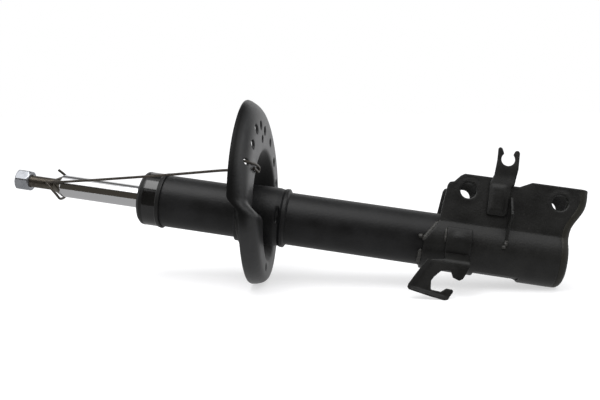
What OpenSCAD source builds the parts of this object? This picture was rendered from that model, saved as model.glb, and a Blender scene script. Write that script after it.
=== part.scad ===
// Front suspension strut: a twin-tube damper with its spring seat and knuckle bracket,
// lying at rest on the rim of its spring seat and on its knuckle bracket.
// Strut frame: X runs along the damper from the open top of the tube towards the knuckle end,
// Z is up and -Y is the front. Bracket pieces are drawn upright and then leaned back.

/* [Damper] */
// Outer radius of the damper tube
tube_r = 25.5; // [25.3:0.1:25.7]
// Wall thickness of the damper tube
tube_wall = 2.2; // [1.8:0.1:2.4]
// Length of the tube behind the rim of the cap
tube_len = 376; // [370:1:376]
// Radius of the chromed piston rod
rod_r = 11; // [10.8:0.1:11]
// Chromed rod showing in front of the cap
rod_out = 79; // [70:1:85]
// Length of the rod inside the cap
rod_in = 210; // [205:1:214]
// Radius of the threaded stud at the top of the rod
stud_r = 6; // [5:0.5:6]
// Length of the stud
stud_len = 40; // [38:1:46]
// Width across the flats of the top nut
nut_af = 19; // [18:1:21]

/* [Spring seat] */
// Radius of the rim of the pan
seat_r = 85.5; // [84:0.5:87]
// How far the rim's centre stands above the damper axis
seat_rise = 19; // [18:0.5:20]
// Distance from the rim of the cap to the middle of the pan
seat_at = 88.5; // [88:0.5:90]
// Depth of the trough that the spring sits in
seat_depth = 12.5; // [11:0.5:13]
// Sheet thickness of the pan along the axis
seat_wall = 3; // [2.5:0.1:3.4]

/* [Knuckle bracket] */
// Sheet thickness of the bracket
plate = 3; // [2.6:0.1:3]
// Distance from the rim of the cap to the upper knuckle bolt
bolt_1_at = 288; // [286:0.5:289]
// Distance between the two knuckle bolts
bolt_pitch = 83.5; // [82:0.5:84]
// Height of the knuckle bolts above the damper axis
bolt_rise = 48; // [47:0.5:49]
// Radius of the knuckle bolt holes
bolt_r = 7.5; // [7:0.1:8]
// Distance over the outer faces of the two ears
ears_over = 47; // [46:0.5:48]
// Backward lean of the ears
ear_lean = 16; // [12:1:18]

/* [Brackets on the side] */
// Radius of the hose notch in the fork
fork_r = 6.2; // [5.6:0.1:6.4]
// Sheet thickness of the hose fork and the line clip
tab_plate = 2.6; // [2.2:0.1:2.8]
// Radius of the retaining wire
wire_r = 1.25; // [1:0.05:1.3]

/* [Hidden] */
$fn = 96;

bore_r = tube_r - tube_wall;
tube_top = -22;
cap_front = -28;
cap_wall = 1.1;
pressure_r = 16;
pressure_wall = 1.5;
pressure_from = 4;
pressure_to = 342;
retainer_from = tube_top + tube_wall;
seal_from = retainer_from + 1.2;
guide_from = seal_from + 6.5;
guide_to = 14;
bush_wall = 0.6;
running_gap = 0.04;
rod_tip = cap_front - rod_out;
shoulder_len = 9;
stud_end = rod_tip - shoulder_len - stud_len;
rod_foot = rod_in + cap_front;
piston_at = rod_foot + 5;
piston_len = 16;
wrap_r = tube_r + plate;
wrap_from = 253;
wrap_to = 383;
ear_top = 63.5;
ear_tip_at = 395;
fold_rise = 16;
ear_out = ears_over / 2;
bolt_2_at = bolt_1_at + bolt_pitch;
line_clip_out = 41;

// The strut rests on the foot of the pan's rim and on the foot of the bracket's wrap.
seat_reach = seat_r - seat_rise;
seat_foot_at = 100;
wrap_foot_at = 375;
tilt = atan((seat_reach - wrap_r) / (wrap_foot_at - seat_foot_at));
lift = seat_foot_at * sin(tilt) + seat_reach * cos(tilt);
left_end = stud_end * cos(tilt);
right_end = ear_tip_at * cos(tilt) + ear_top * cos(ear_lean) * sin(tilt);

module lying() {
    translate([-(left_end + right_end) / 2, 0, lift])
        rotate([0, tilt, 0])
            children();
}

// Turns a shape drawn about Z into one drawn about the damper axis.
module on_axis() {
    lying()
        rotate([0, 90, 0])
            children();
}

module leaned() {
    lying()
        rotate([-ear_lean, 0, 0])
            children();
}

// A ring about the damper axis.
module ring(inner, outer, from, to) {
    rotate_extrude()
        translate([inner, from])
            square([outer - inner, to - from]);
}

// A flat plate drawn in the X-Z plane, standing between two distances in front of the axis.
module front_plate(out_from, out_to, points) {
    translate([0, -out_from, 0])
        rotate([90, 0, 0])
            linear_extrude(out_to - out_from)
                polygon(points);
}

// ---- damper ----

module outer_tube() {
    color([0.16, 0.16, 0.17])
        on_axis()
            rotate_extrude()
                polygon([
                    [bore_r, tube_top + tube_wall], [bore_r - 3, tube_top + tube_wall],
                    [bore_r - 3, tube_top], [tube_r - 2, tube_top], [tube_r, tube_top + 2],
                    [tube_r, tube_len], [bore_r, tube_len]]);
}

module tube_end_cap() {
    color([0.17, 0.17, 0.18])
        on_axis()
            rotate_extrude()
                polygon([
                    [0, tube_len - 6], [15, tube_len - 6], [bore_r - 3, tube_len - 9],
                    [bore_r, tube_len - 9], [bore_r, tube_len - 2], [bore_r - 2, tube_len],
                    [bore_r - 4, tube_len - 2], [15, tube_len - 2], [0, tube_len - 2]]);
}

module pressure_tube() {
    color([0.62, 0.62, 0.63])
        on_axis()
            ring(pressure_r, pressure_r + pressure_wall, pressure_from, pressure_to);
}

module rod_guide() {
    color([0.5, 0.5, 0.52])
        on_axis()
            rotate_extrude()
                polygon([
                    [rod_r + bush_wall, guide_from], [bore_r, guide_from],
                    [bore_r, pressure_from - 6], [pressure_r + 3, pressure_from],
                    [pressure_r, pressure_from], [pressure_r, guide_to],
                    [rod_r + bush_wall, guide_to]]);
}

module guide_bush() {
    color([0.55, 0.42, 0.25])
        on_axis()
            ring(rod_r + running_gap, rod_r + bush_wall, guide_from + 3, guide_to - 1);
}

module oil_seal() {
    color([0.06, 0.06, 0.06])
        on_axis()
            rotate_extrude()
                polygon([
                    [rod_r + running_gap, seal_from + 1.5], [rod_r + 3, seal_from],
                    [bore_r, seal_from], [bore_r, guide_from], [rod_r + 4, guide_from],
                    [rod_r + 2, seal_from + 4], [rod_r + running_gap, seal_from + 3.5]]);
}

module seal_retainer() {
    color([0.55, 0.55, 0.56])
        on_axis()
            ring(rod_r + 3, bore_r, retainer_from, seal_from);
}

module bump_cap() {
    hole_r = rod_r + 4;
    outer_r = tube_r + cap_wall;
    lip_r = tube_r + 1.9;
    color([0.1, 0.1, 0.1])
        on_axis()
            rotate_extrude()
                polygon([
                    [hole_r, cap_front], [tube_r - 4.5, cap_front],
                    [tube_r - 0.9, cap_front + 2.2], [tube_r + 0.7, cap_front + 5.8],
                    [outer_r, cap_front + 10], [outer_r, -4], [lip_r, -1], [lip_r, 0],
                    [tube_r, 0], [tube_r, tube_top + 2], [tube_r - 2, tube_top],
                    [hole_r, tube_top]]);
}

module piston_rod() {
    color([0.85, 0.86, 0.88])
        on_axis()
            rotate_extrude()
                polygon([
                    [0, stud_end], [stud_r - 1, stud_end], [stud_r, stud_end + 1],
                    [stud_r, rod_tip - shoulder_len], [rod_r, rod_tip], [rod_r, rod_foot],
                    [stud_r, rod_foot], [stud_r, rod_foot + 34], [0, rod_foot + 34]]);
}

module rebound_stop() {
    color([0.12, 0.12, 0.12])
        on_axis()
            ring(rod_r, pressure_r - 0.8, rod_foot - 34, rod_foot - 24);
}

module piston() {
    band_seat_r = pressure_r - 2.05;
    groove_from = piston_at + 3;
    groove_to = piston_at + piston_len - 3;
    ports = 8;
    port_circle_r = 10.4;
    color([0.42, 0.42, 0.44])
        on_axis()
            difference() {
                rotate_extrude()
                    polygon([
                        [stud_r, piston_at], [pressure_r - 0.5, piston_at],
                        [pressure_r - 0.5, groove_from], [band_seat_r, groove_from],
                        [band_seat_r, groove_to], [pressure_r - 0.5, groove_to],
                        [pressure_r - 0.5, piston_at + piston_len],
                        [stud_r, piston_at + piston_len]]);
                for (i = [0 : ports - 1])
                    rotate([0, 0, i * 360 / ports])
                        translate([port_circle_r, 0, piston_at - 1])
                            cylinder(r = 1.6, h = piston_len + 2, $fn = 24);
            }
}

module piston_band() {
    color([0.35, 0.3, 0.2])
        on_axis()
            ring(pressure_r - 2, pressure_r - running_gap, piston_at + 3.1,
                piston_at + piston_len - 3.1);
}

module compression_shims() {
    color([0.7, 0.7, 0.72])
        on_axis() {
            ring(stud_r, 14, piston_at - 0.8, piston_at);
            ring(stud_r, 12, piston_at - 1.8, piston_at - 0.8);
            ring(stud_r, 9, rod_foot, piston_at - 1.8);
        }
}

module rebound_shims() {
    shims_at = piston_at + piston_len;
    color([0.7, 0.7, 0.72])
        on_axis() {
            ring(stud_r, 13, shims_at, shims_at + 0.8);
            ring(stud_r, 11, shims_at + 0.8, shims_at + 1.6);
            ring(stud_r, 9, shims_at + 1.6, shims_at + 2.4);
        }
}

module piston_nut() {
    nut_at = piston_at + piston_len + 2.4;
    color([0.6, 0.6, 0.6])
        on_axis()
            difference() {
                translate([0, 0, nut_at])
                    cylinder(r = 10.4, h = 8, $fn = 6);
                translate([0, 0, nut_at - 1])
                    cylinder(r = stud_r, h = 10);
            }
}

module base_valve_body() {
    port_circle_r = 11;
    foot_slots = 4;
    color([0.45, 0.45, 0.47])
        on_axis()
            difference() {
                rotate_extrude()
                    polygon([
                        [3, pressure_to - 6], [pressure_r, pressure_to - 6],
                        [pressure_r, pressure_to], [bore_r - 3, pressure_to],
                        [bore_r - 3, tube_len - 9], [bore_r - 6, tube_len - 9],
                        [bore_r - 6, pressure_to + 6], [3, pressure_to + 6]]);
                for (i = [0 : 5])
                    rotate([0, 0, i * 60])
                        translate([port_circle_r, 0, pressure_to - 7])
                            cylinder(r = 1.8, h = 14, $fn = 24);
                for (i = [0 : foot_slots - 1])
                    rotate([0, 0, i * 90 + 45])
                        translate([bore_r - 8, -3, tube_len - 16])
                            cube([8, 6, 8]);
            }
}

module base_valve_shims() {
    color([0.7, 0.7, 0.72])
        on_axis() {
            ring(3, 14, pressure_to + 6, pressure_to + 6.8);
            ring(3, 11, pressure_to + 6.8, pressure_to + 7.6);
        }
}

module base_intake_disc() {
    color([0.72, 0.72, 0.74])
        on_axis()
            ring(3, 14, pressure_to - 7, pressure_to - 6);
}

module base_valve_rivet() {
    color([0.6, 0.6, 0.6])
        on_axis()
            rotate_extrude()
                polygon([
                    [0, pressure_to - 10], [5.5, pressure_to - 10], [5.5, pressure_to - 7],
                    [3, pressure_to - 7], [3, pressure_to + 7.6], [5.5, pressure_to + 7.6],
                    [5.5, pressure_to + 9.6], [0, pressure_to + 9.6]]);
}

// ---- top nut: a hexagon with a washer face towards the rod ----

module top_nut() {
    nut_len = 13;
    corner_r = nut_af / sqrt(3);
    color([0.78, 0.79, 0.8])
        on_axis()
            difference() {
                union() {
                    translate([0, 0, stud_end + 1])
                        intersection() {
                            rotate([0, 0, 17])
                                cylinder(r = corner_r, h = nut_len, $fn = 6);
                            rotate_extrude()
                                polygon([
                                    [0, 0], [corner_r - 1.4, 0], [corner_r, 1.4],
                                    [corner_r, nut_len - 1], [corner_r - 1, nut_len],
                                    [0, nut_len]]);
                        }
                    translate([0, 0, stud_end + 1 + nut_len])
                        cylinder(r = nut_af / 2, h = 1.2);
                }
                translate([0, 0, stud_end - 2])
                    cylinder(r = stud_r, h = nut_len + 6);
            }
}

// ---- spring seat: a tilted pan whose trough climbs like one turn of the spring ----

seat_ring_steps = 72;
seat_rows = 16;
hub_r = tube_r + 3.2;
crest_from = 0.48;
crest_to = 0.56;
valley = 0.3;
pan_tip_up = 0.128;
coil_step = 10;
coil_end_angle = 6;
coil_end_width = 10;
rim_tip_rise = 4;

function ease(t) = let (k = max(0, min(1, t))) k * k * (3 - 2 * k);

// Share of the coil step reached at an angle that runs from the front over the top.
function coil_share(angle) =
    let (turned = (angle - coil_end_angle + 720) % 360)
    turned < 360 - coil_end_width
        ? turned / (360 - coil_end_width)
        : (360 - turned) / coil_end_width;

// Depth of the trough from the hub, 0, to the rim, 1. It is bedded in a valley round the hub.
function trough(share) =
    share < crest_to
        ? (1 + valley) * ease((share - 0.06) / (crest_from - 0.06)) - valley
        : 1 - pow((share - crest_to) / (1 - crest_to), 2.8);

// The rim stands a little higher round its top.
function rim_at(angle) = seat_r + rim_tip_rise * pow(max(0, sin(angle)), 8);

function seat_point(angle, share, side) =
    let (
        front = cos(angle) * (hub_r * (1 - share) + rim_at(angle) * share),
        up = seat_rise * share
            + sin(angle) * (hub_r * (1 - share) + rim_at(angle) * share),
        along = seat_at - pan_tip_up * up
            + coil_step * (coil_share(angle) - 0.4) * ease(share / 0.4)
            + seat_depth * trough(share) - side * seat_wall
    )
    [along, -front, up];

module seat_sheet() {
    rows = seat_rows + 1;
    points = [for (i = [0 : seat_ring_steps - 1]) for (side = [0, 1]) for (j = [0 : seat_rows])
        seat_point(i * 360 / seat_ring_steps, j / seat_rows, side)];
    function at(i, side, j) = ((i % seat_ring_steps) * 2 + side) * rows + j;
    faces = [for (i = [0 : seat_ring_steps - 1]) each concat(
        [for (j = [0 : seat_rows - 1]) each [
            [at(i, 0, j), at(i + 1, 0, j), at(i + 1, 0, j + 1)],
            [at(i, 0, j), at(i + 1, 0, j + 1), at(i, 0, j + 1)],
            [at(i, 1, j), at(i + 1, 1, j + 1), at(i + 1, 1, j)],
            [at(i, 1, j), at(i, 1, j + 1), at(i + 1, 1, j + 1)]]],
        [[at(i, 0, seat_rows), at(i + 1, 0, seat_rows), at(i + 1, 1, seat_rows)],
         [at(i, 0, seat_rows), at(i + 1, 1, seat_rows), at(i, 1, seat_rows)],
         [at(i, 0, 0), at(i + 1, 1, 0), at(i + 1, 0, 0)],
         [at(i, 0, 0), at(i, 1, 0), at(i + 1, 1, 0)]])];
    polyhedron(points, faces);
}

module spring_seat_pan() {
    wire_hole = [-67, 57, 3];
    drains = [[-31, 84, 4.4], [-13, 87, 4], [5, 81, 4.2], [-7, 74, 3.4], [-48, 71, 4],
        [32, 68, 4], [50, 47, 4.4], [60, 24, 4], [-30, -44, 3.6]];
    color([0.42, 0.42, 0.42])
        lying()
            difference() {
                seat_sheet();
                for (hole = concat([wire_hole], drains))
                    translate([0, hole[0], hole[1]])
                        rotate([0, 90, 0])
                            cylinder(r = hole[2], h = 200, $fn = 32);
            }
}

module seat_collar() {
    color([0.4, 0.4, 0.4])
        on_axis()
            rotate_extrude()
                polygon([
                    [tube_r, 76], [tube_r + 3, 76], [tube_r + 3, 112], [tube_r + 2, 117],
                    [tube_r + 3.4, 119], [tube_r + 3.4, 121], [tube_r, 123]]);
}

// Bead round the hub of the pan, joining it to the collar.
module seat_weld() {
    bead_r = 1.7;
    sides = 8;
    steps = 48;
    points = [for (i = [0 : steps - 1]) for (k = [0 : sides - 1])
        let (
            angle = i * 360 / steps,
            centre = seat_point(angle, 0, 0.5),
            out = [0, -cos(angle), sin(angle)],
            turn = k * 360 / sides
        )
        centre + bead_r * (out * cos(turn) + [1, 0, 0] * sin(turn))];
    function at(i, k) = (i % steps) * sides + k % sides;
    faces = [for (i = [0 : steps - 1]) for (k = [0 : sides - 1]) each [
        [at(i, k), at(i + 1, k + 1), at(i + 1, k)],
        [at(i, k), at(i, k + 1), at(i + 1, k + 1)]]];
    color([0.3, 0.28, 0.26])
        lying()
            polyhedron(points, faces);
}

// ---- knuckle bracket: one pressed sheet wrapped round the tube, with two ears ----

ear_outline = [
    [265, fold_rise - 3], [266, 30], [268.5, 52], [270, 54.5], [274, 55], [279.5, 61.5],
    [283, ear_top], [310, ear_top], [329, 58], [334, 58], [345, ear_top], [392.5, ear_top],
    [ear_tip_at, 61], [395.3, 54], [393.2, 44], [389.4, 37.5], [384.8, 30.5], [382.7, 25],
    [382, fold_rise - 3]];
ear_lip = [
    [392, ear_top], [392.5, ear_top], [ear_tip_at, 61], [395.3, 54], [393.2, 44], [389.4, 37.5],
    [384.8, 30.5], [382.7, 25], [382, fold_rise - 3], [379, fold_rise - 3], [379.7, 25],
    [382, 31.6], [386.8, 39.1], [390.3, 45], [392.3, 54.4]];

module knuckle_bracket() {
    lip_depth = 7;
    window_from = 303;
    window_to = 345;
    window_half = 12;
    color([0.36, 0.36, 0.35])
        leaned()
            difference() {
                union() {
                    intersection() {
                        rotate([0, 90, 0])
                            rotate_extrude()
                                polygon([
                                    [tube_r, wrap_from], [wrap_r, wrap_from],
                                    [wrap_r, wrap_to - 7], [wrap_r - 2, wrap_to - 2.4],
                                    [wrap_r - 6, wrap_to], [wrap_r - 10, wrap_to],
                                    [wrap_r - 10, wrap_to - plate],
                                    [wrap_r - 7, wrap_to - plate],
                                    [tube_r, wrap_to - 7]]);
                        front_plate(-40, 40, [
                            [wrap_from, -40], [wrap_from, -4], [265, fold_rise],
                            [382, fold_rise], [384, fold_rise], [384, -40]]);
                    }
                    for (side = [0, 1])
                        mirror([0, side, 0]) {
                            front_plate(ear_out - plate, ear_out, ear_outline);
                            front_plate(ear_out - lip_depth, ear_out - plate, ear_lip);
                        }
                }
                for (at = [bolt_1_at, bolt_2_at])
                    translate([at, 40, bolt_rise])
                        rotate([90, 0, 0])
                            cylinder(r = bolt_r, h = 80);
                translate([window_from, -window_half, -40])
                    cube([window_to - window_from, 2 * window_half, 30]);
                rotate([0, 90, 0])
                    translate([0, 0, wrap_from - 10])
                        cylinder(r = tube_r, h = tube_len - wrap_from + 10);
            }
}

module bracket_welds() {
    bead = 2.6;
    color([0.3, 0.27, 0.24])
        leaned()
            rotate([0, 90, 0])
                for (arc = [[275, 45], [40, 45], [-20, 40]])
                    rotate([0, 0, arc[0]])
                        rotate_extrude(angle = arc[1])
                            polygon([
                                [tube_r, wrap_from], [tube_r, wrap_from - bead],
                                [tube_r + bead, wrap_from]]);
}

// ---- small brackets ----

module hose_fork() {
    notch_at = 320;
    notch_rise = 81.7;
    foot = ear_out;
    color([0.38, 0.38, 0.37])
        leaned()
            difference() {
                front_plate(foot, foot + tab_plate, [
                    [306, 28], [323, 28], [325, 31], [325.5, 56], [328.5, 58], [330.4, 73],
                    [330, 89], [328.5, 90.8], [326, 90.6], [324.5, 88], [324.3, 82],
                    [315.8, 82], [314.8, 88], [313.6, 91.6], [311.4, 92.4], [310, 91],
                    [310.2, 80], [309.3, 66], [306, 58]]);
                translate([notch_at, -foot + 5, notch_rise])
                    rotate([90, 0, 0])
                        cylinder(r = fork_r, h = 15);
            }
}

module fork_gusset() {
    gusset_at = 322.4;
    foot = ear_out + tab_plate;
    color([0.38, 0.38, 0.37])
        leaned()
            translate([gusset_at, 0, 0])
                rotate([90, 0, 90])
                    linear_extrude(tab_plate)
                        polygon([
                            [-foot, 47], [-foot - 4, 46], [-foot - 10, 30], [-foot - 9, 24],
                            [-foot - 6, 21], [-wrap_r - 0.2, 6], [-wrap_r - 0.2, 2],
                            [-foot - 1.2, 12], [-foot, 28]]);
}

module line_clip() {
    clip_from = 273;
    clip_to = 296;
    skin = 0.05;
    ledge_at = -14;
    color([0.4, 0.4, 0.39])
        leaned()
            union() {
                // Foot that follows the wrap
                rotate([0, 90, 0])
                    translate([0, 0, clip_from])
                        rotate([0, 0, 246])
                            rotate_extrude(angle = 52)
                                translate([wrap_r + skin, 0])
                                    square([tab_plate, clip_to - clip_from]);
                // Ledge that steps out to the hook
                translate([clip_from, 0, 0])
                    rotate([90, 0, 90])
                        linear_extrude(clip_to - clip_from)
                            polygon([
                                [-27.6, ledge_at - 1], [-27.6, ledge_at + 2.4],
                                [-31, ledge_at + 1.6], [-line_clip_out, ledge_at - 5],
                                [-line_clip_out, ledge_at - 9], [-line_clip_out + tab_plate,
                                ledge_at - 8]]);
                // Open hook for the line
                front_plate(line_clip_out - tab_plate, line_clip_out, [
                    [256, -26], [276, -19], [clip_to, ledge_at - 5], [296, -20], [291, -35],
                    [288, -37], [282, -35], [279.6, -29.6], [276, -29.4], [271, -30.6],
                    [265.6, -36.6], [263.4, -40.4], [264, -48.4], [273, -49], [277.4, -45.4],
                    [283, -45.6], [284, -47.4], [279.6, -56], [276.6, -56.5],
                    [247, -51.6], [245, -49], [246, -46]]);
                // Stiffening flange along the hook's outer edge
                front_plate(line_clip_out, line_clip_out + 4, [
                    [256, -26], [246, -46], [245, -49], [247, -51.6], [276.6, -56.5],
                    [276.9, -54.6], [248.4, -50], [247.8, -48.6], [258.4, -26]]);
            }
}

// ---- retaining wire: hooked round the stud and through the pan ----

wire_sides = 8;
wire_steps = 4;
wire_route = [
    [-115, 2, 15], [-109.8, 5, 10.6], [-108.2, 11.8, 5], [-108, 13, -3.2], [-108, 7.6, -11.6],
    [-108, -3.8, -12.9], [-109.5, -10.4, -8], [-116, -10.4, -2], [-121.5, -8.6, 2.6],
    [-117, -9.6, 3.8], [-90, -17, 9], [0, -38, 29.5], [58, -53, 44], [70, -59.5, 50.5],
    [77, -66, 56.3], [84.5, -67.3, 57.2], [89.5, -64, 56.8], [93.2, -50, 54], [94.3, -38, 50.5],
    [94.5, -35.5, 48], [94.1, -38.5, 46.2], [93.7, -48, 49], [92.9, -56, 51]];

function spline(a, b, c, d, t) =
    0.5 * (2 * b + (c - a) * t + (2 * a - 5 * b + 4 * c - d) * t * t
        + (3 * b - a - 3 * c + d) * t * t * t);
function route_at(points, i, t) =
    let (last = len(points) - 1)
    spline(points[max(0, i - 1)], points[i], points[min(last, i + 1)],
        points[min(last, i + 2)], t);
function smooth_route(points, steps) = concat(
    [for (i = [0 : len(points) - 2]) for (k = [0 : steps - 1]) route_at(points, i, k / steps)],
    [points[len(points) - 1]]);
function unit(v) = v / norm(v);
function direction(path, i) =
    unit(path[min(len(path) - 1, i + 1)] - path[max(0, i - 1)]);
function square_to(v, along) = unit(v - along * (v * along));
// One sideways vector per ring, each turned as little as possible from the last.
function sideways(path, i, before) =
    let (now = square_to(before, direction(path, i)))
    i == len(path) - 1 ? [now] : concat([now], sideways(path, i + 1, now));

module wire_tube(path, r, sides) {
    side = sideways(path, 0, [0.1, 0.2, 1]);
    count = len(path);
    points = [for (i = [0 : count - 1]) for (k = [0 : sides - 1])
        let (turn = k * 360 / sides)
        path[i] + r * (side[i] * cos(turn) + cross(direction(path, i), side[i]) * sin(turn))];
    walls = [for (i = [0 : count - 2]) for (k = [0 : sides - 1])
        let (
            a = i * sides + k,
            b = i * sides + (k + 1) % sides
        )
        each [[a, b + sides, b], [a, a + sides, b + sides]]];
    start = [for (k = [0 : sides - 1]) k];
    end = [for (k = [0 : sides - 1]) (count - 1) * sides + sides - 1 - k];
    polyhedron(points, concat(walls, [start], [end]));
}

module retaining_wire() {
    color([0.22, 0.19, 0.17])
        lying()
            wire_tube(smooth_route(wire_route, wire_steps), wire_r, wire_sides);
}

outer_tube();
tube_end_cap();
pressure_tube();
rod_guide();
guide_bush();
oil_seal();
seal_retainer();
bump_cap();
piston_rod();
rebound_stop();
piston();
piston_band();
compression_shims();
rebound_shims();
piston_nut();
base_valve_body();
base_valve_shims();
base_intake_disc();
base_valve_rivet();
top_nut();
spring_seat_pan();
seat_collar();
seat_weld();
knuckle_bracket();
bracket_welds();
hose_fork();
fork_gusset();
line_clip();
retaining_wire();
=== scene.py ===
"""Looks of a front suspension strut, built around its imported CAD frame."""
import math

import bmesh
import bpy
import numpy as np
from mathutils import Matrix, Vector, geometry
from mathutils.noise import noise


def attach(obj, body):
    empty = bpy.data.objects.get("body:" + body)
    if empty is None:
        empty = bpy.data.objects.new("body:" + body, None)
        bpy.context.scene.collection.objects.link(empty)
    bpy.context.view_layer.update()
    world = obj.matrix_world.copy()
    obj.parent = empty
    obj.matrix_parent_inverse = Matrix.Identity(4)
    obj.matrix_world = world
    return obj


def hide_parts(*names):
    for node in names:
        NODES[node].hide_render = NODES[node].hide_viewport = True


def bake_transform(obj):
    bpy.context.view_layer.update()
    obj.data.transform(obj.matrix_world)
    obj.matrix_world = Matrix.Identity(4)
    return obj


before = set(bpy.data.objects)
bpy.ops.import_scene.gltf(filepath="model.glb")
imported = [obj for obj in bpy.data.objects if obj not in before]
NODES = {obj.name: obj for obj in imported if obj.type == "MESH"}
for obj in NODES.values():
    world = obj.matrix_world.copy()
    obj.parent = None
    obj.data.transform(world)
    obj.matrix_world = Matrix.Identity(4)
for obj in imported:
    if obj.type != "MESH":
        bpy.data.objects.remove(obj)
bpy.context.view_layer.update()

# ---- the strut's own frame, in millimetres: X along the damper, Z up, -Y to the front ----

MM = 0.001
TUBE_R = 25.5
PLATE = 3.0
WRAP_R = TUBE_R + PLATE
SEAT_R, SEAT_RISE, SEAT_AT, SEAT_DEPTH, SEAT_WALL = 85.5, 19.0, 88.5, 12.5, 3.0
EAR_TOP, EAR_TIP, EAR_OUT, EAR_LEAN = 63.5, 395.0, 23.5, 16.0
ROD_TIP, SHOULDER, STUD_END, STUD_R, ROD_R = -107.0, 9.0, -156.0, 6.0, 11.0
BOLTS, BOLT_RISE, BOLT_R = (288.0, 371.5), 48.0, 7.5
SEAT_FOOT_AT, WRAP_FOOT_AT = 100.0, 375.0

reach = SEAT_R - SEAT_RISE
tilt = math.atan((reach - WRAP_R) / (WRAP_FOOT_AT - SEAT_FOOT_AT))
lift = SEAT_FOOT_AT * math.sin(tilt) + reach * math.cos(tilt)
left = STUD_END * math.cos(tilt)
right = EAR_TIP * math.cos(tilt) + EAR_TOP * math.cos(math.radians(EAR_LEAN)) * math.sin(tilt)
STRUT = (Matrix.Translation((-(left + right) / 2 * MM, 0, lift * MM))
         @ Matrix.Rotation(tilt, 4, "Y") @ Matrix.Scale(MM, 4))
LEANED = STRUT @ Matrix.Rotation(math.radians(-EAR_LEAN), 4, "X")


# ---- finishes ----

def finish_of(name, colour, rough, metallic=0.0, specular=0.5, mottle=0.25, mottle_scale=45.0,
              grain=0.25, grain_scale=600.0, rough_swing=0.08,
              worn=None, worn_share=0.0, streak=False, dull=None):
    """A procedural finish: cloudy colour, uneven roughness, fine grain and worn spots.
    Painted shade: where the mesh's shade value is 1, a given dark colour with little shine."""
    made = bpy.data.materials.new(name)
    made.use_nodes = True
    tree = made.node_tree
    shader = tree.nodes["Principled BSDF"]
    shader.inputs["Metallic"].default_value = metallic
    shader.inputs["Specular IOR Level"].default_value = specular

    def node(kind, **inputs):
        new = tree.nodes.new(kind)
        for key, value in inputs.items():
            new.inputs[key.replace("_", " ")].default_value = value
        return new

    def link(a, b):
        tree.links.new(a, b)

    place = node("ShaderNodeTexCoord")
    spots = place.outputs["Object"]
    if streak:
        stretch = node("ShaderNodeMapping")
        stretch.inputs["Scale"].default_value = (0.08, 1.0, 1.0)
        link(spots, stretch.inputs["Vector"])
        spots = stretch.outputs["Vector"]
    cloud = node("ShaderNodeTexNoise", Scale=mottle_scale, Detail=5.0, Roughness=0.6)
    link(spots, cloud.inputs["Vector"])
    dark = [c * (1 - mottle) for c in colour] + [1]
    light = [min(1, c * (1 + mottle)) for c in colour] + [1]
    ramp = node("ShaderNodeValToRGB")
    ramp.color_ramp.elements[0].position = 0.35
    ramp.color_ramp.elements[1].position = 0.65
    ramp.color_ramp.elements[0].color = dark
    ramp.color_ramp.elements[1].color = light
    link(cloud.outputs["Fac"], ramp.inputs["Fac"])
    out = ramp.outputs["Color"]
    if worn:
        patch = node("ShaderNodeTexNoise", Scale=mottle_scale * 6, Detail=6.0, Roughness=0.7)
        link(place.outputs["Object"], patch.inputs["Vector"])
        edge = node("ShaderNodeValToRGB")
        edge.color_ramp.elements[0].position = 1 - worn_share
        edge.color_ramp.elements[1].position = 1 - worn_share + 0.06
        link(patch.outputs["Fac"], edge.inputs["Fac"])
        mix = node("ShaderNodeMix")
        mix.data_type = "RGBA"
        link(edge.outputs["Color"], mix.inputs["Factor"])
        link(out, mix.inputs["A"])
        mix.inputs["B"].default_value = [*worn, 1]
        out = mix.outputs["Result"]
    # Painted shade: where the mesh's shade value is 1, the colour falls to the given dark colour
    # and the shine drops.
    if dull:
        share = tree.nodes.new("ShaderNodeAttribute")
        share.attribute_name = "dull"
        mix = node("ShaderNodeMix")
        mix.data_type = "RGBA"
        link(share.outputs["Fac"], mix.inputs["Factor"])
        link(out, mix.inputs["A"])
        mix.inputs["B"].default_value = [*dull, 1]
        out = mix.outputs["Result"]
        shine = node("ShaderNodeMapRange")
        shine.inputs["To Min"].default_value = specular
        shine.inputs["To Max"].default_value = specular * 0.15
        link(share.outputs["Fac"], shine.inputs["Value"])
        link(shine.outputs["Result"], shader.inputs["Specular IOR Level"])
    link(out, shader.inputs["Base Color"])
    spread = node("ShaderNodeMapRange")
    spread.inputs["To Min"].default_value = max(0.02, rough - rough_swing)
    spread.inputs["To Max"].default_value = rough + rough_swing
    link(cloud.outputs["Fac"], spread.inputs["Value"])
    link(spread.outputs["Result"], shader.inputs["Roughness"])
    fine = node("ShaderNodeTexNoise", Scale=grain_scale, Detail=3.0, Roughness=0.5)
    link(spots, fine.inputs["Vector"])
    bump = node("ShaderNodeBump", Strength=grain, Distance=0.0003)
    link(fine.outputs["Fac"], bump.inputs["Height"])
    link(bump.outputs["Normal"], shader.inputs["Normal"])
    return made


TUBE_PAINT = finish_of("tube_paint", (0.0055, 0.0056, 0.006), 0.46, specular=0.26, mottle=0.4,
                       grain=0.6)
# The pan's coat: real worn spots, and a dark painted-shade colour for the valley round the hub
# and the near rim.
PAN_COAT = finish_of("pan_coat", (0.008, 0.0083, 0.009), 0.4, specular=0.52, mottle=0.3,
                     mottle_scale=60.0, grain=0.6, worn=(0.04, 0.037, 0.034), worn_share=0.3,
                     dull=(0.0045, 0.0045, 0.0045))
BRACKET_COAT = finish_of("bracket_coat", (0.006, 0.006, 0.0056), 0.45, specular=0.3,
                         mottle=0.4, grain=0.7, worn=(0.03, 0.028, 0.024), worn_share=0.32)
# The rolled rear margin is coloured a little lighter and more olive than the plate.
ROLL_TINT = finish_of("roll_tint", (0.0105, 0.0098, 0.0065), 0.5, specular=0.3, mottle=0.3,
                      grain=0.4, worn=(0.04, 0.036, 0.026), worn_share=0.35)
WELD_COAT = finish_of("weld_coat", (0.02, 0.019, 0.017), 0.5, mottle=0.5, mottle_scale=300.0,
                      grain=0.8, grain_scale=900.0)
CAP_SATIN = finish_of("cap_satin", (0.004, 0.004, 0.004), 0.5, specular=0.3, mottle=0.2,
                      grain=0.2)
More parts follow.
